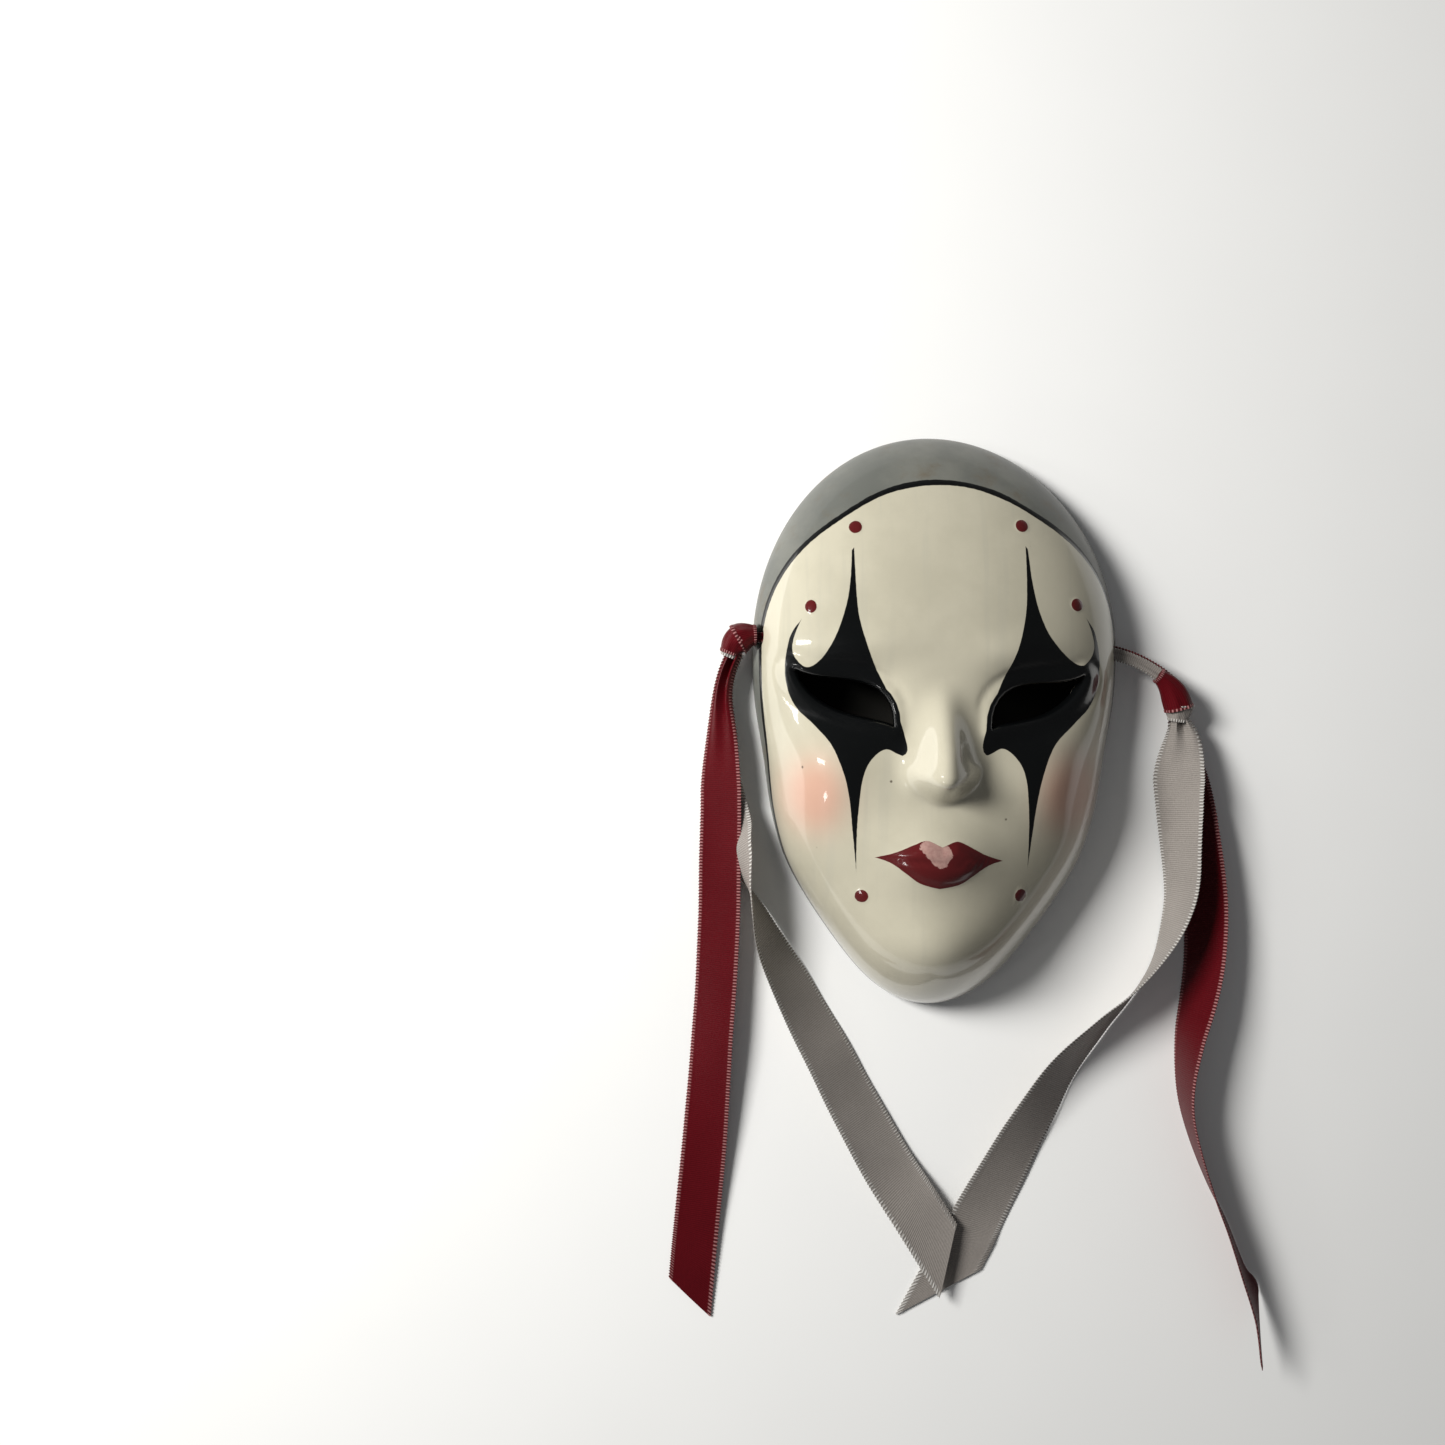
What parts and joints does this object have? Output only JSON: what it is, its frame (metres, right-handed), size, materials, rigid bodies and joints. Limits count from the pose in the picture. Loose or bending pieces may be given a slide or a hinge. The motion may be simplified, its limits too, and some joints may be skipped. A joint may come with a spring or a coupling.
{
  "type": "venetian masquerade mask",
  "caption": "Glazed ceramic venetian face mask with open back, eye openings and knotted red and grey satin ribbons at each ear.",
  "frame": {"origin": "centre of the back rim's outline box, on the flat rim plane that the mask lies on", "axes": "+X to the right as the face is looked at, +Y from the chin to the crown, +Z from the back rim out to the nose"},
  "size_m": [0.1329, 0.2068, 0.0333],
  "materials": {
    "glazed_face": "gloss ivory glaze with enamel painting, grey glazed sides",
    "red_satin": "woven satin ribbon with picot selvedge",
    "grey_satin": "woven satin ribbon with picot selvedge"
  },
  "bodies": {
    "mask": {"mask_shell": "glazed_face"},
    "left_ribbons": {"left_stopper_knot": "red_satin", "left_strand": "red_satin", "left_knot": "red_satin", "left_red_tail": "red_satin", "left_grey_tail": "grey_satin"},
    "right_ribbons": {"right_stopper_knot": "red_satin", "right_strand": "grey_satin", "right_knot": "red_satin", "right_red_tail": "red_satin", "right_grey_tail": "grey_satin"}
  },
  "joints": [
    {"name": "left_ribbons_swing", "type": "hinge", "parent": "mask", "child": "left_ribbons", "pos_m": [-0.0395, 0.0186, 0.0055], "axis": [-1, 0, 0], "range_deg": [0, 80]},
    {"name": "right_ribbons_swing", "type": "hinge", "parent": "mask", "child": "right_ribbons", "pos_m": [0.0395, 0.0154, 0.0055], "axis": [-1, 0, 0], "range_deg": [0, 80]}
  ]
}
